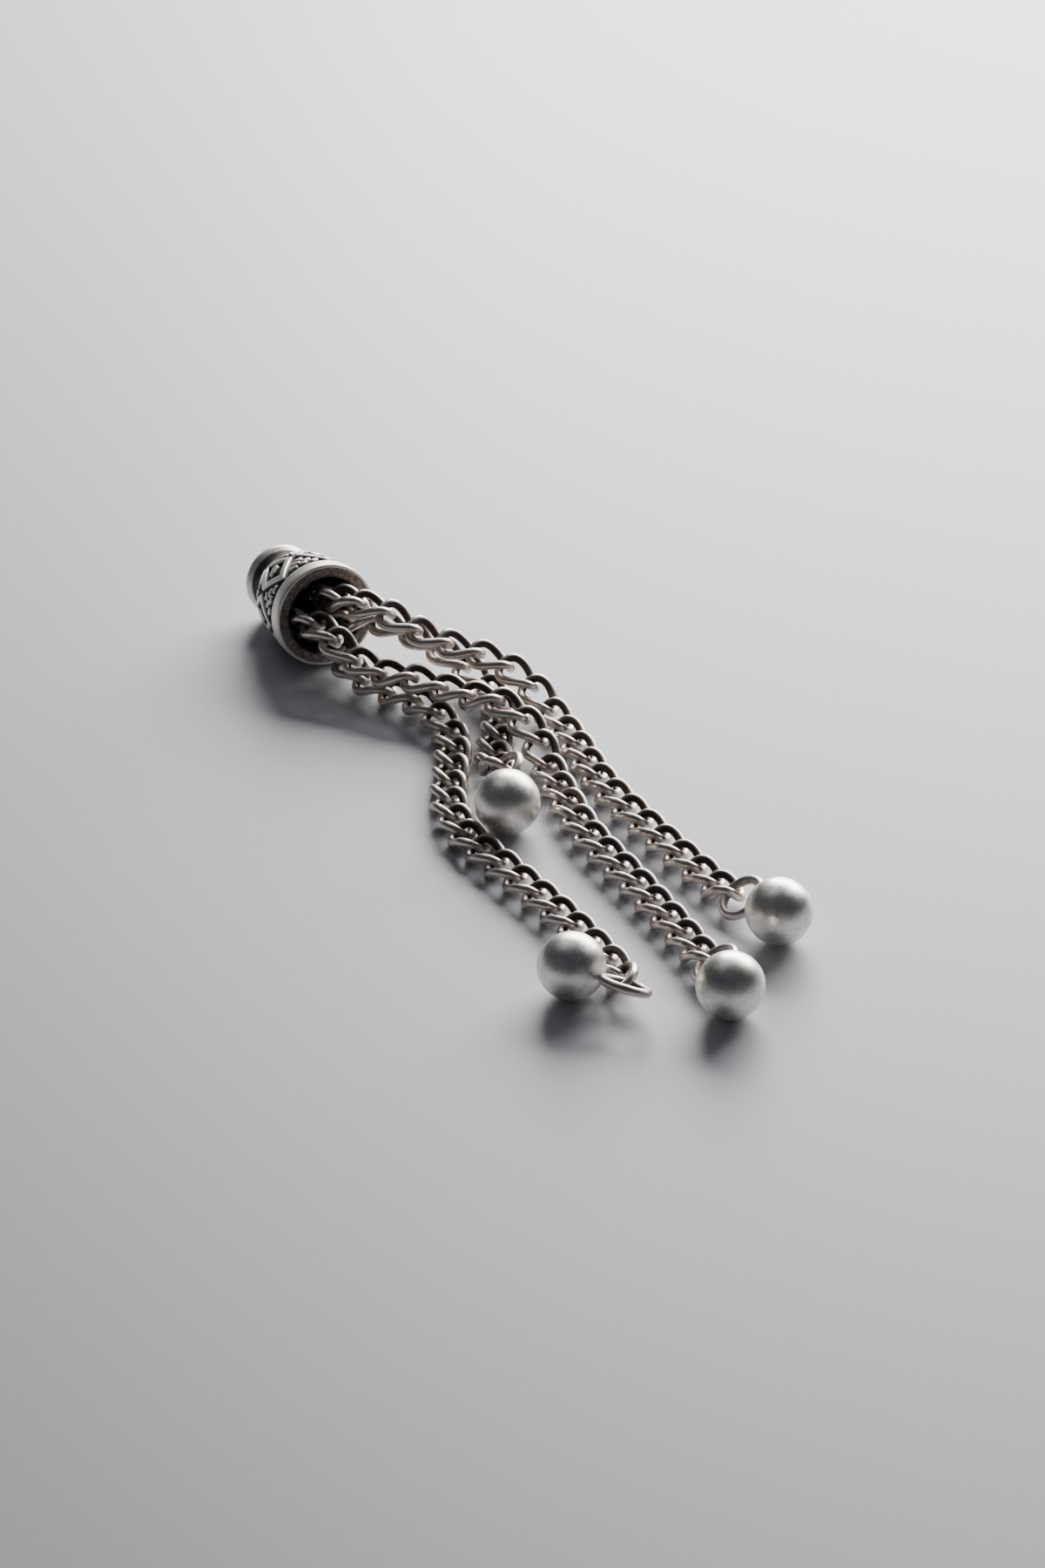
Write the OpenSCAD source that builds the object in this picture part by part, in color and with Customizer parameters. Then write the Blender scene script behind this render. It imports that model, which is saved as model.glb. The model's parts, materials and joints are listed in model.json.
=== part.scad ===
// Silver chain tassel: a cast bell cap on its side, with four curb chains that end in balls.
// The chains lie on the surface z = 0. +X runs from the cap towards the balls.

/* [Wire and links] */
// Diameter of the round wire that the chain links are bent from
wire_d = 0.68; // [0.6:0.02:0.68]
// Distance from one link to the next along a pulled chain
link_pitch = 2.57; // [2.55:0.01:2.58]
// Width across one link
link_w = 3; // [2.9:0.05:3]
// Height of the curb twist, from the middle of a link to its highest wire centre
link_lift = 0.5; // [0.45:0.01:0.5]

/* [Cap] */
// Length of the cap along its own axis
cap_len = 9.6; // [9:0.1:10]
// Outer radius of the thick mouth rim
mouth_r = 4.15; // [4.1:0.05:4.3]
// Inner radius of the mouth
mouth_bore_r = 3.1; // [3.1:0.05:3.2]
// Outer radius of the flared small end
flare_r = 2.9; // [2.7:0.05:3]
// Radius of the hole for the hanging cord
cord_r = 0.9; // [0.7:0.05:1]
// Number of diamond frames around the barrel
diamonds = 6; // [4:1:8]

/* [Rings and balls] */
// Centreline radius of the two gather rings inside the cap
gather_r = 1.4; // [1.4:0.01:1.45]
// Centreline radius of the ring on each ball
ball_ring_r = 1.65; // [1.6:0.01:1.65]
// Diameter of the round wire of the rings on the balls
ring_wire_d = 0.7; // [0.6:0.02:0.7]
// Diameter of the round wire of the gather rings
gather_wire_d = 0.54; // [0.5:0.02:0.54]
// Radius of a ball
ball_r = 2.5; // [2.45:0.01:2.5]

/* [Hidden] */
$fn = 48;

// Colours
silver = [0.72, 0.7, 0.66];
dark_silver = [0.4, 0.37, 0.34];
satin_silver = [0.82, 0.81, 0.78];

// Link shape: an oval bent up and down along itself, so that each link passes
// over its neighbour on one side and under it on the other
link_slack = 0.12;
half_l = (link_pitch + wire_d + link_slack) / 2;
half_w = (link_w - wire_d) / 2;
link_sides = 6;
link_steps = 16;
// The corners of the faceted oval stand as far outside the true one as its flats lie inside
corner_out = 2 / (1 + cos(180 / link_steps));
links_per_node = 2;

// Cap profile: distance along the cap axis, measured from the flared end
rim_z = 0.3;
dish_depth = 1.4;
cord_wall = 1;
waist_z = 1.8;
waist_r = 2.35;
belly_z = 4.4;
belly_r = 3.4;
neck_z = 8;
neck_r = 3.75;
bead_z = 8.9;
bead_edge_r = 0.3;
cavity_z = 5.8;
cavity_r = 2.15;

// Relief of the barrel: diamond frames corner to corner, a boss in each, and a cluster of
// pellets in every field between them
relief_turn = 40;
diamond_z = 5;
diamond_reach = 2.1;
frame_w = 0.36;
frame_h = 0.28;
boss_size = 0.8;
boss_h = 0.26;
pellet_r = 0.32;
pellet_gap = 9;

// The shift that puts the origin under the middle of the whole tassel
centre_shift = [-0.5, 0.3, 0];

// The cap rests on its mouth rim and on its flare
cap_tilt = atan((mouth_r - flare_r) / (bead_z - rim_z));
cap_turn = -5;
mouth_y = -0.8;
mouth_x = -25.5;
mouth_h = mouth_r * cos(cap_tilt) + (cap_len - bead_z) * sin(cap_tilt);

// The cross bar and the two gather rings, in the cap's own frame: how far from
// the mouth they are, how far to the side and how far up
gather_depth = 5.2;
gather_side = 1.5;
gather_up = 0.19;
bar_r = 0.35;
bar_embed = 0.15;
bar_depth = gather_depth + gather_r - gather_wire_d / 2 - bar_r - 0.03;
bar_half = 2.62;

// Routes of the chains, from the gather ring to the ball ring
left_route = [[-29.8, -2.1, 3], [-28.4, -1.3, 2.2], [-24.4, -0.7, 2.1], [-21.4, -0.9, 1.3],
    [-18.1, 0.1, 0.9], [-15.9, 1.1, 1.1], [-12.2, 1.7, 1.1], [-10.5, 1.5, 0.9], [-7.8, 0.6, 0.9],
    [-5.8, -0.7, 0.9], [-1.3, -3.6, 0.9], [3.3, -5.2, 0.9], [8.7, -5.1, 0.9], [16.5, -4.8, 0.9],
    [24, -5, 0.9], [26.4, -5.2, 0.9], [28.7, -6.1, 1.6], [30.5, -7.2, 2.1]];
middle_route = [[-29.8, -1.9, 4.15], [-26.9, -2.2, 4.1], [-25.5, -2.5, 4.4], [-21.9, -2.1, 4.1],
    [-20.9, -1.8, 3.5], [-18.1, -0.7, 2.8], [-15.6, 1, 3], [-13.6, 2.4, 2.8], [-11.4, 3.5, 2.8],
    [-9.1, 4.8, 3.2], [-6, 5.8, 2.5], [-4.2, 5.8, 1.9], [-1.4, 5, 1], [3.4, 3.8, 0.9],
    [8.5, 2.7, 0.9], [16.2, 2.2, 0.9], [24, 1.5, 0.9], [26.1, 1.2, 0.9], [28.6, 0.9, 1.3],
    [31, 0.6, 1.7]];
right_route = [[-29.7, 1.1, 4.35], [-27.3, 0.3, 5.5], [-24.9, -0.2, 5.9], [-21, 1.1, 6.5],
    [-19.9, 2.4, 5.7], [-18.1, 3.6, 5], [-16.5, 5.9, 3.8], [-14.7, 7.6, 3.4], [-12.7, 8.9, 2.6],
    [-10.7, 9.4, 1.9], [-8.1, 9.4, 1], [-2.9, 8.6, 0.9], [2.1, 7.5, 0.9], [9.9, 7.1, 0.9],
    [16.7, 7.1, 0.9], [19.3, 7.1, 0.9], [21.8, 7.2, 1.3], [24, 7.3, 1.7]];
short_route = [[-29.6, 1.2, 3.3], [-26.2, 0.6, 3.9], [-24.4, 0.8, 4.1], [-22.7, 1.8, 4.5],
    [-20.4, 3.9, 3.8], [-19.1, 5.6, 2.6], [-16.6, 7, 1.4], [-16.9, 7.1, 1.3], [-13.2, 7.1, 0.9],
    [-10, 6, 0.9], [-7.7, 4.4, 0.9], [-5.8, 2.9, 0.9], [-3.7, 1.7, 1.1], [-1.4, 1, 2.2],
    [0, 0.7, 2.8]];

// Each chain: name, route, number of links, [twist height and roll of its first link], roll of
// its last link, and its ball ring: [heading, slope, tilt, which way round the ring the ball is]
chains = [
    ["left", left_route, 24, [0.42, 0], 42, [-28, 23, 72, -1]],
    ["middle", middle_route, 24, [0.25, -15], 0, [-8, 16, -61, 1]],
    ["right", right_route, 22, [0.32, 0], 0, [4, 11, -56, 1]],
    ["short", short_route, 13, [0.25, -15], 0, [-21, 6, -45, 1]]
];

function chain_name(c) = chains[c][0];
function chain_links(c) = chains[c][2];
function chain_nodes(c) = ceil(chain_links(c) / links_per_node);
function segment_name(c, k) = str(chain_name(c), "_chain_", k < 9 ? "0" : "", k + 1);

// A smooth curve through the route's points
curve_steps = 12;
function spline_point(a, b, c, d, u) =
    0.5 * (2 * b + (c - a) * u + (2 * a - 5 * b + 4 * c - d) * pow(u, 2)
    + (3 * b - a - 3 * c + d) * pow(u, 3));
function smooth(r) = let (n = len(r) - 1) concat(
    [for (i = [0 : n - 1]) for (k = [0 : curve_steps - 1])
        spline_point(r[max(i - 1, 0)], r[i], r[i + 1], r[min(i + 2, n)], k / curve_steps)],
    [r[n]]);

// The points where neighbouring links meet, one link pitch apart along the curve
function far_enough(path, from, j) =
    j >= len(path) - 1 || norm(path[j] - from) >= link_pitch ? j : far_enough(path, from, j + 1);
function step_point(q0, q1, from) =
    let (d = q1 - q0, f = q0 - from, a = d * d, b = 2 * f * d, c = f * f - pow(link_pitch, 2))
    q0 + d * (-b + sqrt(b * b - 4 * a * c)) / (2 * a);
function walk(path, count, found, j) =
    len(found) > count ? found :
    let (from = found[len(found) - 1], k = far_enough(path, from, j))
    walk(path, count, concat(found, [step_point(path[k - 1], path[k], from)]), k);
function joints(c) =
    let (path = [for (p = smooth(chains[c][1])) p + centre_shift])
    walk(path, chain_links(c), [path[0]], 1);

// Unit vectors along, across and above a link that runs from p to q
function unit(v) = v / norm(v);
function axes(p, q) = let (x = unit(q - p), z = unit([0, 0, 1] - x * x[2])) [x, cross(z, x), z];

// The same three directions, turned by an angle about the first
function rolled(f, a) = [f[0], f[1] * cos(a) + f[2] * sin(a), f[2] * cos(a) - f[1] * sin(a)];

module cap_place() {
    translate([mouth_x, mouth_y, mouth_h] + centre_shift)
        rotate([0, 0, cap_turn])
            rotate([0, 90 - cap_tilt, 0])
                translate([0, 0, -cap_len])
                    children();
}

function barrel_r(z) =
    z < belly_z ? waist_r + (belly_r - waist_r) * (z - waist_z) / (belly_z - waist_z)
    : belly_r + (neck_r - belly_r) * (z - belly_z) / (neck_z - belly_z);
function on_barrel(angle, z) = [barrel_r(z) * cos(angle), barrel_r(z) * sin(angle), z];

module cap_shell() {
    dish_r = flare_r - 0.45;
    floor_z = dish_depth + cord_wall;
    rotate_extrude()
        difference() {
            union() {
                polygon([[0, 0], [flare_r - rim_z, 0], [flare_r, rim_z], [waist_r + 0.1, 1.2],
                    [waist_r, waist_z], [belly_r, belly_z], [neck_r, neck_z], [mouth_r, neck_z + 0.4],
                    [mouth_r, cap_len - bead_edge_r], [mouth_r - bead_edge_r, cap_len], [0, cap_len]]);
                translate([mouth_r - bead_edge_r, cap_len - bead_edge_r]) circle(bead_edge_r);
                translate([flare_r - rim_z, rim_z]) circle(rim_z);
            }
            polygon([[0, -1], [dish_r, -1], [dish_r, 0.3], [cord_r + 0.5, dish_depth - 0.2],
                [cord_r, dish_depth], [cord_r, floor_z], [cavity_r, floor_z],
                [mouth_bore_r, cavity_z], [mouth_bore_r, cap_len + 1], [0, cap_len + 1]]);
        }
}

// One raised bar between two points of the barrel
module relief_bar(a, b, w, h) {
    m = (a + b) / 2;
    along = unit(b - a);
    out = unit([m[0], m[1], 0] - along * ([m[0], m[1], 0] * along));
    side = cross(out, along);
    multmatrix([
        [along[0], side[0], out[0], m[0]],
        [along[1], side[1], out[1], m[1]],
        [along[2], side[2], out[2], m[2]],
        [0, 0, 0, 1]])
        cube([norm(b - a), w, 2 * h], center = true);
}

module cap() {
    step = 360 / diamonds;
    color(dark_silver) cap_place() {
        cap_shell();
        for (i = [0 : diamonds - 1]) {
            a = relief_turn + i * step;
            corners = [on_barrel(a, diamond_z - diamond_reach), on_barrel(a + step / 2, diamond_z),
                on_barrel(a, diamond_z + diamond_reach), on_barrel(a - step / 2, diamond_z)];
            for (k = [0 : 3]) relief_bar(corners[k], corners[(k + 1) % 4], frame_w, frame_h);
            relief_bar(on_barrel(a, diamond_z - boss_size / 2), on_barrel(a, diamond_z + boss_size / 2),
                boss_size, boss_h);
            for (k = [-1 : 1])
                translate(on_barrel(a + step / 2 + pellet_gap * k, diamond_z + 2.1 - 0.5 * abs(k)))
                    sphere(pellet_r, $fn = 24);
        }
    }
}

module cross_bar() {
    color(dark_silver) cap_place()
        translate([-gather_up, 0, cap_len - bar_depth])
            rotate([90, 0, 0]) cylinder(r = bar_r, h = 2 * bar_half + 2 * bar_embed, center = true);
}

module wire_ring(r, d) {
    rotate_extrude() translate([r, 0]) circle(d = d);
}

module gather_ring(side) {
    color(dark_silver) cap_place()
        translate([-gather_up, side * gather_side, cap_len - gather_depth])
            rotate([90, 0, 0]) wire_ring(gather_r, gather_wire_d);
}

// One link of round wire from p to q, as a tube along its closed curve
module link(p, q, lift, roll) {
    f = rolled(axes(p, q), roll);
    c = (p + q) / 2;
    function centre(t) = [corner_out * half_l * cos(t), corner_out * half_w * sin(t), -lift * sin(2 * t)];
    function ahead(t) = unit([-half_l * sin(t), half_w * cos(t), -2 * lift * cos(2 * t)]);
    function side(t) = unit(cross(ahead(t), [0, 0, 1]));
    function skin(t, a) = centre(t) + wire_d / 2 * (cos(a) * side(t) + sin(a) * cross(side(t), ahead(t)));
    ring_points = [for (i = [0 : link_steps - 1]) for (k = [0 : link_sides - 1])
        let (s = skin(360 * i / link_steps, 360 * k / link_sides))
        c + f[0] * s[0] + f[1] * s[1] + f[2] * s[2]];
    function at(i, k) = (i % link_steps) * link_sides + k % link_sides;
    polyhedron(ring_points, [for (i = [0 : link_steps - 1]) for (k = [0 : link_sides - 1])
        [at(i, k), at(i, k + 1), at(i + 1, k + 1), at(i + 1, k)]]);
}

// A last link that is rolled on its side is a plain oval
module chain_segment(c, k) {
    pts = joints(c);
    last = chain_links(c) - 1;
    color(silver)
        for (i = [k * links_per_node : min((k + 1) * links_per_node - 1, last)]) {
            first = chains[c][3];
            roll = i == 0 ? first[1] : i == last ? chains[c][4] : 0;
            link(pts[i], pts[i + 1], i == 0 ? first[0] : roll == 0 ? link_lift : 0, roll);
        }
}

// The ring of a ball hangs on the last link. The ball is soldered to the ring's rim, as far
// round it as brings the ball to rest on the surface.
solder = 0.12;
ring_reach = ball_ring_r - (wire_d + link_slack) / 2;
ball_reach = ball_ring_r + ring_wire_d / 2 + ball_r - solder;
function last_joint(c) = let (j = joints(c)) j[len(j) - 1];
function ring_axes(c) =
    let (a = chains[c][5][0], e = chains[c][5][1], x = [cos(a) * cos(e), sin(a) * cos(e), sin(e)],
        n = rolled(axes([0, 0, 0], x), chains[c][5][2])[1])
    [x, cross(n, x), n];
function ring_centre(c) = last_joint(c) + ring_axes(c)[0] * ring_reach;
function ball_centre(c) =
    let (f = ring_axes(c), rise = (ball_r - ring_centre(c)[2]) / ball_reach,
        turn = atan2(f[1][2], f[0][2]) + chains[c][5][3] * acos(rise / norm([f[0][2], f[1][2]])))
    ring_centre(c) + (f[0] * cos(turn) + f[1] * sin(turn)) * ball_reach;

module ball_ring(c) {
    p = ring_centre(c);
    f = ring_axes(c);
    color(satin_silver)
        multmatrix([
            [f[0][0], f[1][0], f[2][0], p[0]],
            [f[0][1], f[1][1], f[2][1], p[1]],
            [f[0][2], f[1][2], f[2][2], p[2]],
            [0, 0, 0, 1]])
            wire_ring(ball_ring_r, ring_wire_d);
}

module ball(c) {
    color(satin_silver) translate(ball_centre(c)) sphere(ball_r, $fn = 64);
}

cap();
cross_bar();
gather_ring(-1);  // left_gather_ring
gather_ring(1);  // right_gather_ring
for (c = [0 : len(chains) - 1]) {
    for (k = [0 : chain_nodes(c) - 1])
        chain_segment(c, k);
    ball_ring(c);
    ball(c);
}
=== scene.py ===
import json
import math
import random

import bpy
import numpy as np
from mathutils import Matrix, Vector


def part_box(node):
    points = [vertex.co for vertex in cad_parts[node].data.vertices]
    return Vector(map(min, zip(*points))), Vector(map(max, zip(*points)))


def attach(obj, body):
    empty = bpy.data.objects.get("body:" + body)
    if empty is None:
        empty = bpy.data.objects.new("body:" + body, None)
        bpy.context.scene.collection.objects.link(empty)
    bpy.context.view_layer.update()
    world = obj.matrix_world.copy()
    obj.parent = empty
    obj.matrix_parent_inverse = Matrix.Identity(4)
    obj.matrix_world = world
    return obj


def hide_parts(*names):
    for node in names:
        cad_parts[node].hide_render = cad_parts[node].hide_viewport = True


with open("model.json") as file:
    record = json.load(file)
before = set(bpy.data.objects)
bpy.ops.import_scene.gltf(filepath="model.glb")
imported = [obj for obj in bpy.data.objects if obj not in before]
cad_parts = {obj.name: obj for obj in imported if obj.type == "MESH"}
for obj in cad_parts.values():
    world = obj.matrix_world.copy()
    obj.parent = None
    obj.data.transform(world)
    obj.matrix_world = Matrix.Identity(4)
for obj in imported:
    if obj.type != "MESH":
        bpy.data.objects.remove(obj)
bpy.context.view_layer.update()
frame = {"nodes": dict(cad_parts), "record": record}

MM = 0.001

# ---------------------------------------------------------------- sizes, in millimetres
CAD_WIRE_R = 0.34         # radius over the corners of the CAD links' six-sided wire
LINK_SKIN_TOP = 0.294     # height of that six-sided wire above its middle
LINK_CORNER_OUT = 2 / (1 + math.cos(math.pi / 16))  # times that the CAD link's corners stand out
WIRE_R = 0.34             # radius of the round wire that takes the place of the six-sided one
RING_WIRE_R = 0.35        # radius of the wire of the ball rings
GATHER_WIRE_R = 0.27      # radius of the wire of the gather rings
SEAM_SWELL = 0.05         # share by which a wire is thicker where its ends are soldered together
LINK_SEAM = 0.12          # half width of that seam on a link, in radians round it
RING_SEAM = 0.09          # half width of that seam on a ring
WIRE_WOBBLE = 0.012       # share by which a link's wire varies round the link

NIB_HEIGHT = 0.30         # solder nib that holds a ball to its ring
NIB_WIDTH = 0.2           # its half width, in radians at the ball's centre
BALL_WAVES = 5            # shallow dents that keep a ball from being a perfect sphere
BALL_WAVE_DEPTH = 0.0012  # share of the radius that each one takes away on average
BALL_FLAT = 0.999         # where the far pole lies, as a share of the radius

CORD_HOLE_MID = 1.9       # from the cap's small end to the middle of the cord hole's wall
CORD_R = 0.9              # radius of the cord hole
RELIEF_HEIGHT = 0.30      # how far the cast pattern stands up
WEAR_DEPTH = 0.015        # how deep the cap's outside is worn on average, in waves
WEAR_END = 9              # height on the cap where that wear stops, short of the lip
DIAMONDS = 6              # diamond frames around the cap
RELIEF_TURN = math.radians(40)  # where the first of them is centred, from straight down
DIAMOND_Z = 5.2           # from the cap's small end to the diamonds' centres
DIAMOND_REACH = 2.45      # half of a diamond's length along the cap
FRAME_INSET = 0.31        # from a diamond's edge to the middle of its raised frame
FRAME_HALF = (0.19, 0.31)  # half width of the frame at its top and at its foot
BOSS_REACH = (0.2, 0.12)  # half of the slanted boss's length, around the cap and along it
BOSS_HALF = 0.31          # its half width
PELLET_ROWS = ((1.15, (0.0,)), (1.68, (0.43,)), (2.21, (0.0, 0.86)))  # height, ways off the corner
PELLET_REACH = (0.17, -0.05)  # half of a pellet's length, around the cap and along it
PELLET_HALF = 0.185       # its half width
STROKE = (0.16, -1.15, 1.05, -2.3)  # ends of the stroke below each corner
STROKE_HALF = 0.17        # its half width
BAR_SOFTNESS = 0.07       # half width of the slope at a raised bar's side
RELIEF_START, RELIEF_END = (2.3, 2.55), (7.95, 8.1)  # where the pattern comes up and dies out

BAR_WEAR = 0.02           # how deep the gather rings have worn the cross bar
BAR_WEAR_WIDTH = 0.35     # half width of each worn place
GATHER_SIDE = 1.5         # from the bar's middle to each of them
BAR_END_R = 0.001         # radius at which the bar's flat ends close

# The cap's outside and inside from the small end and from the lip, as (radius, height).
CAP_OUTSIDE = [(2.45, 0.06), (2.66, 0.0), (2.84, 0.1), (2.9, 0.3), (2.84, 0.5), (2.62, 0.8),
               (2.42, 1.15), (2.33, 1.55), (2.38, 1.95), (2.62, 2.5), (3.02, 3.4), (3.36, 4.4),
               (3.52, 5.6), (3.64, 6.8), (3.72, 7.8), (3.78, 8.05), (4.02, 8.2), (4.13, 8.4),
               (4.15, 8.7), (4.15, 9.25), (4.14, 9.45), (4.09, 9.56), (3.98, 9.6)]
CAP_INSIDE = [(3.98, 9.6), (3.6, 9.585), (3.3, 9.58), (3.16, 9.55), (3.1, 9.4), (3.1, 7.5),
              (3.1, 5.8), (2.9, 5.1), (2.5, 3.7), (2.2, 2.6), (2.1, 2.42), (1.6, 2.4),
              (CORD_R + 0.05, 2.4), (CORD_R, 2.33), (CORD_R, 1.9), (CORD_R, 1.47),
              (CORD_R + 0.06, 1.38), (1.3, 1.2), (1.9, 0.75), (2.3, 0.3), (2.45, 0.06)]

# ---------------------------------------------------------------- how finely each mesh is cut
LINK_STEPS, LINK_SIDES = 56, 14      # round a link, round its wire
RING_STEPS, RING_SIDES = 96, 20
BALL_ROWS, BALL_COLS = 72, 112
CAP_ROWS, CAP_COLS = 170, 480        # outside, where the relief is
CAP_ROWS_IN, CAP_COLS_IN = 110, 150
BAR_ROWS, BAR_COLS = 60, 32
CURVE_STEPS = 24                     # between two given points of an outline
SOLID_POINTS = 20                    # a group of CAD points no larger than this is no solid

# ---------------------------------------------------------------- view, in metres and degrees
VIEW_CENTRE = Vector((-2.0, 3.3, 0)) * MM  # the point in the middle of the picture
VIEW_TURN = math.radians(-60)        # from the part's X to the camera's right
VIEW_PITCH = math.radians(30.2)      # how far the camera looks down
VIEW_DISTANCE = 0.4605
LENS, SENSOR = 140.0, 36.0           # in millimetres, the sensor's height
FLOOR_HALF = 3.0
ROOM_COLOUR = (0.040, 0.042, 0.050, 1)

SEED = 7


# ---------------------------------------------------------------- meshes
def make_piece(name, verts, faces, material, body, nodes, values=None):
    """A smooth mesh from millimetre points, riding on a body in place of CAD nodes."""
    mesh = bpy.data.meshes.new(name)
    mesh.from_pydata((np.asarray(verts) * MM).tolist(), [], faces)
    mesh.validate()
    for key, numbers in (values or {}).items():
        layer = mesh.attributes.new(key, "FLOAT", "POINT")
        layer.data.foreach_set("value", np.asarray(numbers, dtype=np.float32))
    mesh.polygons.foreach_set("use_smooth", [True] * len(mesh.polygons))
    mesh.materials.append(material)
    piece = bpy.data.objects.new(name, mesh)
    bpy.context.scene.collection.objects.link(piece)
    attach(piece, body)
    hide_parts(*nodes)


def grid_faces(rows, cols, close_rows=False):
    """Quads over a rows x cols grid of points, whose columns and, if asked, rows close up."""
    faces = []
    for i in range(rows if close_rows else rows - 1):
        for k in range(cols):
            a, b = i * cols, (i + 1) % rows * cols
            nxt = (k + 1) % cols
            faces.append((a + k, a + nxt, b + nxt, b + k))
    return faces


def unit(v):
    return v / np.linalg.norm(v, axis=-1, keepdims=True)


def closed_tube(centre, radius, sides):
    """A tube round a closed line of points, which never runs straight along Z."""
    ahead = unit(np.roll(centre, -1, 0) - np.roll(centre, 1, 0))
    side = unit(np.cross(ahead, np.array([0.0, 0.0, 1.0])))
    over = np.cross(side, ahead)
    angle = np.linspace(0, 2 * np.pi, sides, endpoint=False)[None, :, None]
    skin = centre[:, None] + radius[:, None, None] * (
        np.cos(angle) * side[:, None] + np.sin(angle) * over[:, None])
    return skin.reshape(-1, 3), grid_faces(len(centre), sides, close_rows=True)


def lathe(profile, cols):
    """Points and quads of an outline of (radius, height) turned about Z."""
    angle = np.linspace(0, 2 * np.pi, cols, endpoint=False)
    profile = np.asarray(profile)
    x = profile[:, :1] * np.cos(angle)
    y = profile[:, :1] * np.sin(angle)
    z = np.repeat(profile[:, 1:2], cols, 1)
    return np.stack([x, y, z], -1).reshape(-1, 3), grid_faces(len(profile), cols)


def loose_solids(node):
    """The separate solids of a CAD node, each as an array of its corner points in mm."""
    mesh = frame["nodes"][node].data
    raw = np.empty(len(mesh.vertices) * 3)
    mesh.vertices.foreach_get("co", raw)
    keys, index = np.unique(np.round(raw.reshape(-1, 3) / MM, 4), axis=0, return_inverse=True)
    index = index.reshape(-1)
    owner = list(range(len(keys)))

    def root(i):
        while owner[i] != i:
            owner[i] = owner[owner[i]]
            i = owner[i]
        return i

    for edge in mesh.edges:
        owner[root(index[edge.vertices[0]])] = root(index[edge.vertices[1]])
    groups = {}
    for i in range(len(keys)):
        groups.setdefault(root(i), []).append(i)
    return [keys[group] for group in groups.values() if len(group) > SOLID_POINTS]


def own_axes(points):
    """Centre of a solid and its long, middle and short directions, right-handed."""
    middle = points.mean(0)
    _, _, rows = np.linalg.svd(points - middle, full_matrices=False)
    if np.linalg.det(rows) < 0:
        rows[2] *= -1
    return middle, rows


# ---------------------------------------------------------------- materials
class Shader:
    """A Principled material built up node by node."""

    def __init__(self, name):
        self.material = bpy.data.materials.new(name)
        self.material.use_nodes = True
        self.tree = self.material.node_tree
        self.main = self.tree.nodes["Principled BSDF"]

    def add(self, kind, **values):
        node = self.tree.nodes.new(kind)
        for key, value in values.items():
            if key in node.inputs:
                node.inputs[key].default_value = value
            else:
                setattr(node, key, value)
        return node

    def link(self, a, b):
        self.tree.links.new(a, b)

    def noise(self, scale, detail=4.0, roughness=0.6):
        place = self.add("ShaderNodeTexCoord")
        noise = self.add("ShaderNodeTexNoise", Scale=scale, Detail=detail, Roughness=roughness)
        self.link(place.outputs["Object"], noise.inputs["Vector"])
        return noise.outputs["Fac"]

    def attribute(self, name):
        return self.add("ShaderNodeAttribute", attribute_name=name).outputs["Fac"]

    def spread(self, value, low, high, to_low=0.0, to_high=1.0):
        """The value stretched so that low to high becomes to_low to to_high, and cut off there."""
        node = self.add("ShaderNodeMapRange")
        self.link(value, node.inputs["Value"])
        for key, number in (("From Min", low), ("From Max", high),
                            ("To Min", to_low), ("To Max", to_high)):
            node.inputs[key].default_value = number
        return node.outputs["Result"]

    def mix(self, amount, a, b):
        """Colour a where the amount is 0 and colour b where it is 1."""
        node = self.add("ShaderNodeMix", data_type="RGBA")
        self.link(amount, node.inputs[0])
        for socket, colour in ((node.inputs[6], a), (node.inputs[7], b)):
            if isinstance(colour, tuple):
                socket.default_value = (*colour, 1.0)
            else:
                self.link(colour, socket)
        return node.outputs[2]

    def maths(self, kind, a, b):
        node = self.add("ShaderNodeMath", operation=kind)
        for socket, value in zip(node.inputs, (a, b)):
            if isinstance(value, (int, float)):
                socket.default_value = value
            else:
                self.link(value, socket)
        return node.outputs[0]

    def bump(self, height, strength, distance):
        node = self.add("ShaderNodeBump", Strength=strength, Distance=distance)
        self.link(height, node.inputs["Height"])
        self.link(node.outputs["Normal"], self.main.inputs["Normal"])


def chain_silver():
    """Polished wire with faint random tarnish, painted darker and made duller on the inside of each
    link as painted shade between the links.
    """
    s = Shader("chain_silver")
    s.main.inputs["Metallic"].default_value = 1.0
    # Painted shade: the inside mask darkens the wire's inner side as shade between the links, and the
    # noise adds faint random tarnish.
    tarnish_and_shade = s.maths("ADD", s.attribute("inside"), s.spread(s.noise(1500.0), 0.45, 0.8, 0.0, 0.12))
    s.link(s.mix(tarnish_and_shade, (0.68, 0.615, 0.555), (0.11, 0.085, 0.07)), s.main.inputs["Base Color"])
    s.link(s.maths("ADD", s.spread(s.noise(2600.0), 0.3, 0.7, 0.32, 0.41),
                   s.maths("MULTIPLY", s.attribute("inside"), 0.2)), s.main.inputs["Roughness"])
    s.bump(s.noise(5200.0, 2.0), 0.2, 0.00002)
    return s.material


def ball_silver():
    """Satin silver, bead-blasted and then handled."""
    s = Shader("ball_silver")
    s.main.inputs["Metallic"].default_value = 1.0
    patches = s.spread(s.noise(1100.0, 8.0, 0.75), 0.48, 0.68)
    s.link(s.mix(patches, (0.985, 0.965, 0.91), (0.70, 0.655, 0.585)), s.main.inputs["Base Color"])
    s.link(s.spread(s.noise(1300.0, 4.0), 0.3, 0.7, 0.34, 0.44), s.main.inputs["Roughness"])
    s.bump(s.noise(4200.0, 4.0), 0.45, 0.00003)
    return s.material


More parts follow.
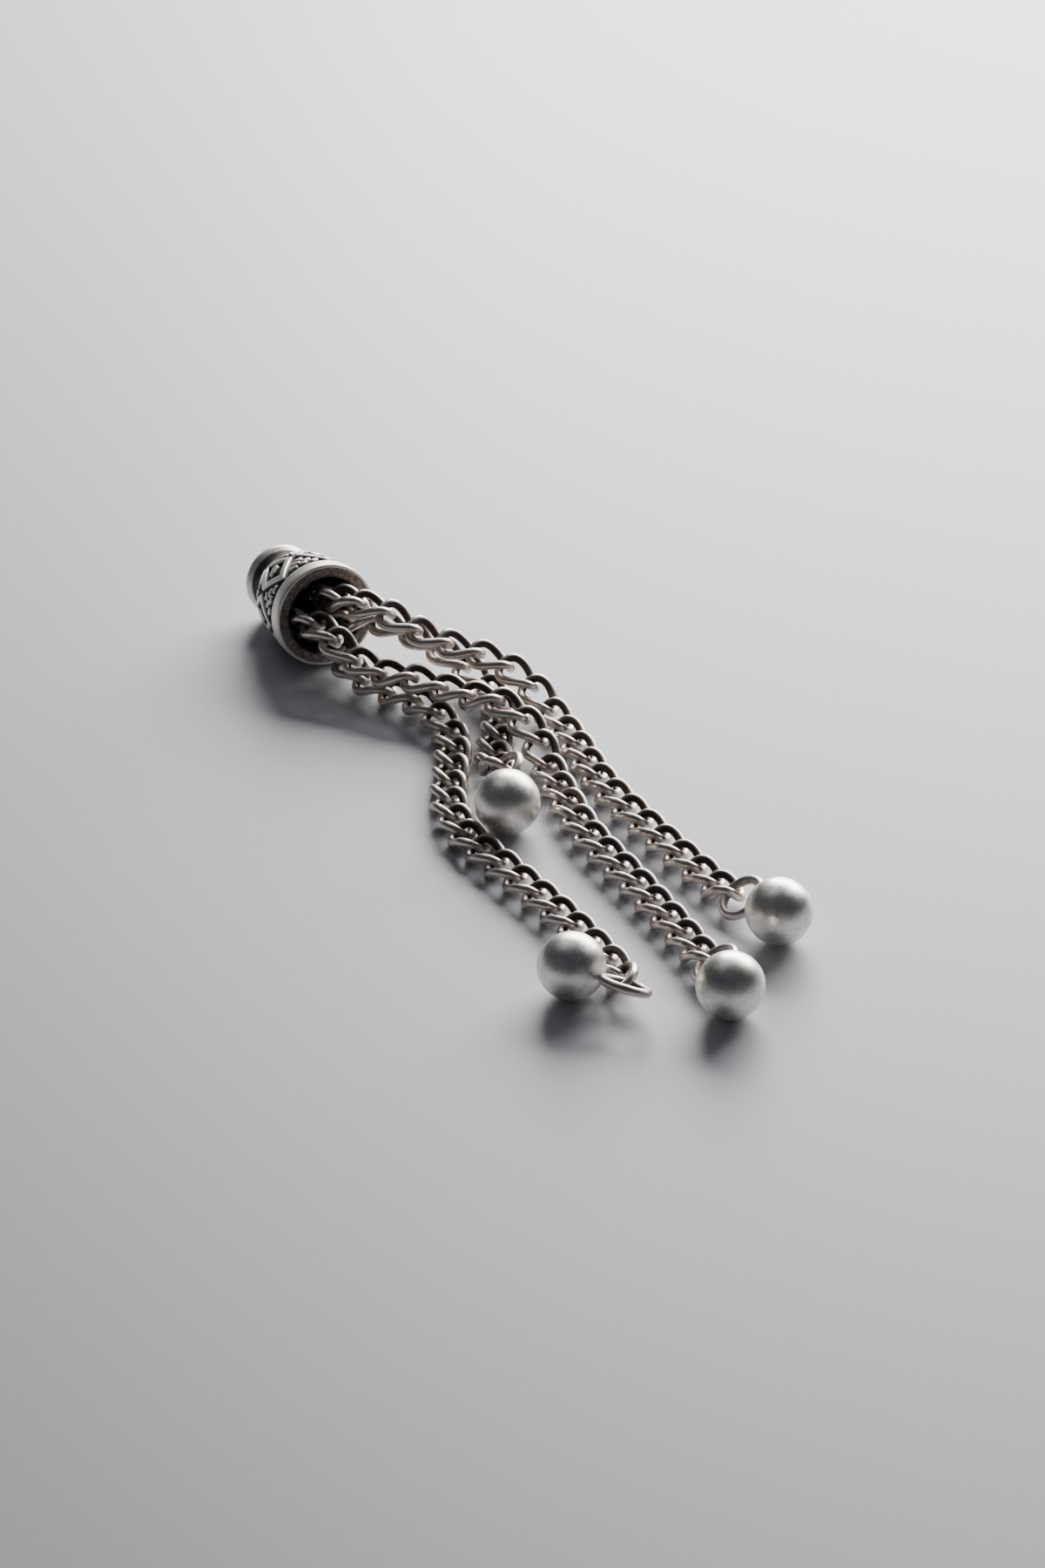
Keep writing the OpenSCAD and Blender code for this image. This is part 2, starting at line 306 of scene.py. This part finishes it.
def cap_silver():
    """Cast silver: near black where the relief is low, rubbed pale on what stands up."""
    s = Shader("cap_silver")
    grain = s.spread(s.noise(3200.0, 5.0), 0.3, 0.7, -0.06, 0.06)
    rubbed = s.maths("ADD", s.attribute("raised"), grain)
    sunk = s.mix(s.spread(rubbed, 0.1, 0.5), (0.010, 0.010, 0.013), (0.17, 0.145, 0.12))
    s.link(s.mix(s.spread(rubbed, 0.45, 0.8), sunk, (0.86, 0.83, 0.78)), s.main.inputs["Base Color"])
    polish = s.maths("MULTIPLY", s.spread(rubbed, 0.1, 0.45), s.spread(rubbed, 0.45, 0.9, 1.0, 0.62))
    s.link(polish, s.main.inputs["Metallic"])
    s.link(s.spread(rubbed, 0.2, 0.9, 0.6, 0.42), s.main.inputs["Roughness"])
    s.bump(s.noise(3400.0, 4.0), 0.4, 0.00002)
    return s.material


def floor_paint():
    """Smooth satin board with a very fine mottle."""
    s = Shader("floor_paint")
    s.link(s.mix(s.spread(s.noise(1400.0), 0.3, 0.7), (0.555, 0.565, 0.595), (0.575, 0.585, 0.615)),
           s.main.inputs["Base Color"])
    s.main.inputs["Roughness"].default_value = 0.5
    return s.material


# ---------------------------------------------------------------- chains
def link_shape(points, rng):
    """One link of round wire in place of a faceted CAD link, and how far inside each point is, the
    mask of the link's painted shade.
    """
    middle, (along, across, up) = own_axes(points)
    reach = [np.ptp((points - middle) @ axis) / 2 for axis in (along, across, up)]
    half_l = (reach[0] - CAD_WIRE_R) / LINK_CORNER_OUT
    half_w = (reach[1] - CAD_WIRE_R) / LINK_CORNER_OUT
    lift = reach[2] - LINK_SKIN_TOP
    t = np.linspace(0, 2 * np.pi, LINK_STEPS, endpoint=False)
    line = np.stack([half_l * np.cos(t), half_w * np.sin(t), -lift * np.sin(2 * t)], -1)
    seam = rng.uniform(0, 2 * math.pi)
    off_seam = np.angle(np.exp(1j * (t - seam)))
    radius = WIRE_R * (1 + SEAM_SWELL * np.exp(-(off_seam / LINK_SEAM) ** 2)
                       + WIRE_WOBBLE * np.sin(3 * t + rng.uniform(0, 6)))
    verts, faces = closed_tube(line, radius, LINK_SIDES)
    centre = np.repeat(line, LINK_SIDES, 0)
    inward = -centre * [1, 1, 0]
    # How far the wire faces the link's middle: the mask for painted shade between the links.
    inside = np.clip(0.25 + (unit(verts - centre) * unit(inward)).sum(-1), 0, 1)
    return middle + verts @ np.stack([along, across, up]), faces, inside


def chain_pieces(material):
    """One piece for each CAD node of a chain, with a round link for each of its solids."""
    rng = random.Random(SEED)
    for node in sorted(frame["nodes"]):
        if "_chain_" not in node:
            continue
        verts, faces, inside = [], [], []
        for solid in loose_solids(node):
            v, f, dark = link_shape(solid, rng)
            start = sum(len(part) for part in verts)
            verts.append(v)
            faces += [tuple(i + start for i in face) for face in f]
            inside.append(dark)
        make_piece("links_" + node, np.concatenate(verts), faces, material, body_with(node),
                   [node], {"inside": np.concatenate(inside)})


def body_with(node):
    bodies = frame["record"]["behaviour"]["bodies"]
    return next(name for name, nodes in bodies.items() if node in nodes)


# ---------------------------------------------------------------- rings and balls
def ring_piece(node, wire_r, material, rng):
    """A ring of round wire where a CAD ring is, with the swelling of its soldered joint."""
    points = loose_solids(node)[0]
    middle, (a, b, n) = own_axes(points)
    outer = max(np.ptp((points - middle) @ a), np.ptp((points - middle) @ b)) / 2
    t = np.linspace(0, 2 * np.pi, RING_STEPS, endpoint=False)
    line = (outer - wire_r) * np.stack([np.cos(t), np.sin(t), 0 * t], -1)
    off_seam = np.angle(np.exp(1j * (t - rng.uniform(0, 6))))
    radius = wire_r * (1 + SEAM_SWELL * np.exp(-(off_seam / RING_SEAM) ** 2))
    verts, faces = closed_tube(line, radius, RING_SIDES)
    centre = np.repeat(line, RING_SIDES, 0)
    # Painted shade: the side of the wire facing the ring's middle is marked to be painted dark, at
    # most half as much as a link's inside.
    inside = np.clip((unit(verts - centre) * unit(-centre)).sum(-1), 0, 1) ** 2 * 0.5
    make_piece("wire_" + node, middle + verts @ np.stack([a, b, n]), faces, material,
               body_with(node), [node], {"inside": inside})


def ball_piece(name, material, rng):
    """A ball with the solder nib that holds it to its ring."""
    ball, ring = name + "_ball", name + "_ball_ring"
    low, high = (np.array(corner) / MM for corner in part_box(ball))
    middle, r = (low + high) / 2, (high - low).max() / 2
    ring_low, ring_high = (np.array(corner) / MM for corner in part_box(ring))
    pole = unit((ring_low + ring_high) / 2 - middle)
    tip = np.linspace(0, np.pi, BALL_ROWS + 2)[1:-1]
    swell = NIB_HEIGHT * np.exp(-(tip / NIB_WIDTH) ** 2)
    profile = np.stack([(r + swell) * np.sin(tip), (r + swell) * np.cos(tip)], -1)
    verts, faces = lathe(profile, BALL_COLS)
    for _ in range(BALL_WAVES):
        direction = unit(np.array([rng.gauss(0, 1) for axis in range(3)]))
        wave = np.sin((verts @ direction) * rng.uniform(0.8, 2.2) + rng.uniform(0, 6))
        verts = verts * (1 - BALL_WAVE_DEPTH * (1 + wave))[:, None]
    poles = len(verts)
    verts = np.concatenate([verts, [[0, 0, r + NIB_HEIGHT], [0, 0, -r * BALL_FLAT]]])
    last = (BALL_ROWS - 1) * BALL_COLS
    for k in range(BALL_COLS):
        nxt = (k + 1) % BALL_COLS
        faces.append((poles, nxt, k))
        faces.append((poles + 1, last + k, last + nxt))
    side = unit(np.cross(pole, [0.0, 0.0, 1.0]))
    make_piece("bead_" + ball, middle + verts @ np.stack([side, np.cross(pole, side), pole]),
               faces, material, body_with(ball), [ball])


# ---------------------------------------------------------------- cap
def ramp(x, low, high):
    """0 below low and 1 above high, with a smooth rise between them."""
    t = np.clip((x - low) / (high - low), 0, 1)
    return t * t * (3 - 2 * t)


def bar(u, v, u0, v0, u1, v1, half_w):
    """1 inside a straight bar with soft sides between two points of the unrolled barrel."""
    du, dv = u1 - u0, v1 - v0
    long = math.hypot(du, dv)
    along = ((u - u0) * du + (v - v0) * dv) / long
    off = np.abs((u - u0) * dv - (v - v0) * du) / long
    past = np.maximum(np.maximum(-along, along - long), 0)
    return 1 - ramp(np.hypot(off, past), half_w - BAR_SOFTNESS, half_w + BAR_SOFTNESS)


def relief(angle, z, r):
    """Height of the cast pattern, 0 in the sunk ground and 1 on the raised work."""
    step = 2 * np.pi / DIAMONDS
    turn = ((angle - RELIEF_TURN) / step + 0.5) % 1 - 0.5
    u, v = turn * step * r, z - DIAMOND_Z
    half = step * r / 2
    inset = (1 - np.abs(u) / half - np.abs(v) / DIAMOND_REACH) / np.hypot(1 / half, 1 / DIAMOND_REACH)
    height = 1 - ramp(np.abs(inset - FRAME_INSET), *FRAME_HALF)
    around, along = BOSS_REACH
    height = np.maximum(height, bar(u, v, -around, -along, around, along, BOSS_HALF))
    from_corner = half - np.abs(u)
    around, along = PELLET_REACH
    for row, columns in PELLET_ROWS:
        for column in columns:
            height = np.maximum(height, bar(from_corner, v, column - around, row - along,
                                            column + around, row + along, PELLET_HALF))
    height = np.maximum(height, bar(from_corner, v, *STROKE, STROKE_HALF))
    return height * ramp(z, *RELIEF_START) * (1 - ramp(z, *RELIEF_END))


def smooth_line(points, count):
    """Points evenly spaced along a smooth curve through the given ones."""
    p = np.array(points)
    p = np.concatenate([[2 * p[0] - p[1]], p, [2 * p[-1] - p[-2]]])
    fine = []
    for i in range(1, len(p) - 2):
        for t in np.linspace(0, 1, CURVE_STEPS, endpoint=False):
            fine.append(0.5 * (2 * p[i] + (p[i + 1] - p[i - 1]) * t
                               + (2 * p[i - 1] - 5 * p[i] + 4 * p[i + 1] - p[i + 2]) * t ** 2
                               + (3 * p[i] - p[i - 1] - 3 * p[i + 1] + p[i + 2]) * t ** 3))
    fine = np.array(fine + [p[-2]])
    way = np.concatenate([[0], np.cumsum(np.linalg.norm(np.diff(fine, axis=0), axis=1))])
    at = np.linspace(0, way[-1], count)
    return np.stack([np.interp(at, way, fine[:, k]) for k in range(fine.shape[1])], -1)


def cap_axes():
    """Small end of the cap, and its down, side and forward directions, from the cord hole."""
    hole = next(m for m in frame["record"]["mounts"] if m["name"] == "cord_hole")
    forward = -unit(np.array(hole["axis"], dtype=float))
    end = np.array(hole["pos_m"]) / MM - forward * CORD_HOLE_MID
    side = unit(np.cross([0.0, 0.0, 1.0], forward))
    return end, np.cross(side, forward), side, forward


def cap_piece(material, rng):
    """The cast cap, and how far each point of it is raised and so rubbed bright."""
    end, down, side, forward = cap_axes()
    outer = smooth_line(CAP_OUTSIDE, CAP_ROWS)
    angle = np.linspace(0, 2 * np.pi, CAP_COLS, endpoint=False)
    a, z = np.meshgrid(angle, outer[:, 1])
    r = np.repeat(outer[:, :1], CAP_COLS, 1)
    high = relief(a, z, r)
    worn = sum(np.sin(k * a + rng.uniform(0, 6)) * np.sin((k - 1) * z + rng.uniform(0, 6))
               for k in (2, 3, 5)) / 3
    r = r + RELIEF_HEIGHT * high - WEAR_DEPTH * (1 + worn) * (z < WEAR_END)
    skin = np.stack([r * np.cos(a), r * np.sin(a), z], -1).reshape(-1, 3)
    # The small end and the lip have no pattern and are rubbed bright, and the waist is darker.
    plain = np.maximum(1 - 0.75 * ramp(z, 0.6, 0.95) - 0.25 * ramp(z, 1.3, 2.1),
                       ramp(z, 8.05, 8.3))
    raised = np.clip(np.maximum(high, plain), 0, 1).reshape(-1)
    faces = grid_faces(len(outer), CAP_COLS)
    inner = smooth_line(CAP_INSIDE, CAP_ROWS_IN)
    v_in, f_in = lathe(inner, CAP_COLS_IN)
    # Inside, only the lip's face and the edge of the small end's dish are rubbed.
    lip = (ramp(inner[:, 0], 3.1, 3.2) * (inner[:, 1] > 9.3)
           * (0.42 + 0.4 * ramp(inner[:, 0], 3.88, 3.97)))
    dish = ramp(inner[:, 0], 1.6, 2.4) * (inner[:, 1] < 0.8) * 0.8
    raised_in = np.repeat(np.maximum(lip, dish) + 0.05, CAP_COLS_IN)
    start = len(skin)
    faces += [tuple(i + start for i in face) for face in f_in]
    verts = np.concatenate([skin, v_in])
    make_piece("cast_cap", end + verts @ np.stack([down, side, forward]), faces, material, "cap",
               ["cap"], {"raised": np.concatenate([raised, raised_in])})


def cross_bar_piece(material):
    """The bar across the inside of the cap, a little worn where the rings ride on it."""
    points = loose_solids("cross_bar")[0]
    middle, (along, b, c) = own_axes(points)
    half = np.ptp((points - middle) @ along) / 2
    r = np.ptp((points - middle) @ b) / 2
    x = np.linspace(-half, half, BAR_ROWS)
    wear = BAR_WEAR * sum(np.exp(-((x - side * GATHER_SIDE) / BAR_WEAR_WIDTH) ** 2)
                          for side in (-1, 1))
    profile = np.stack([np.concatenate([[BAR_END_R], r - wear, [BAR_END_R]]),
                        np.concatenate([[-half], x, [half]])], -1)
    verts, faces = lathe(profile, BAR_COLS)
    make_piece("drawn_cross_bar", middle + verts @ np.stack([b, c, along]), faces, material, "cap",
               ["cross_bar"], {"raised": np.full(len(verts), 0.45)})


# ---------------------------------------------------------------- floor, lights, camera
def to_part(u, v, z):
    """A direction given as right, away from the camera and up, turned into the part's frame."""
    x = Vector((math.cos(VIEW_TURN), math.sin(VIEW_TURN)))
    y = Vector((-math.sin(VIEW_TURN), math.cos(VIEW_TURN)))
    ground = Vector((u, v))
    return Vector((ground.dot(x), ground.dot(y), z))


def aim(thing, place, target):
    thing.location = place
    thing.rotation_euler = (target - place).to_track_quat("-Z", "Y").to_euler()
    bpy.context.scene.collection.objects.link(thing)


def area_light(name, power, size, place, colour):
    """A soft light at a place given from the middle of the view, aimed at the part's origin."""
    data = bpy.data.lights.new(name, "AREA")
    data.shape = "RECTANGLE"
    data.energy = power
    data.size, data.size_y = size
    data.color = colour
    aim(bpy.data.objects.new(name, data), VIEW_CENTRE + to_part(*place), Vector((0, 0, 0)))


def studio():
    half = FLOOR_HALF
    mesh = bpy.data.meshes.new("floor")
    mesh.from_pydata([(-half, -half, 0), (half, -half, 0), (half, half, 0), (-half, half, 0)],
                     [], [(0, 1, 2, 3)])
    mesh.materials.append(floor_paint())
    floor = bpy.data.objects.new("floor", mesh)
    bpy.context.scene.collection.objects.link(floor)
    world = bpy.data.worlds.new("studio")
    world.use_nodes = True
    world.node_tree.nodes["Background"].inputs["Color"].default_value = ROOM_COLOUR
    bpy.context.scene.world = world
    area_light("window", 1.6, (0.24, 0.13), (0.08, 0.185, 0.107), (1.0, 0.99, 0.975))
    area_light("overhead", 0.06, (0.20, 0.20), (-0.08, 0.10, 0.30), (0.96, 0.98, 1.0))


def camera():
    data = bpy.data.cameras.new("camera")
    data.sensor_fit = "VERTICAL"
    data.sensor_height = SENSOR
    data.lens = LENS
    thing = bpy.data.objects.new("camera", data)
    place = VIEW_CENTRE + to_part(0, -VIEW_DISTANCE * math.cos(VIEW_PITCH),
                                  VIEW_DISTANCE * math.sin(VIEW_PITCH))
    aim(thing, place, VIEW_CENTRE)
    bpy.context.scene.camera = thing


# ---------------------------------------------------------------- the scene
def build():
    rng = random.Random(SEED + 1)
    wire, satin, cast = chain_silver(), ball_silver(), cap_silver()
    chain_pieces(wire)
    for name in ("left", "middle", "right", "short"):
        ring_piece(name + "_ball_ring", RING_WIRE_R, wire, rng)
        ball_piece(name, satin, rng)
    for name in ("left", "right"):
        ring_piece(name + "_gather_ring", GATHER_WIRE_R, wire, rng)
    cap_piece(cast, rng)
    cross_bar_piece(cast)
    studio()
    camera()


build()
bpy.context.view_layer.update()
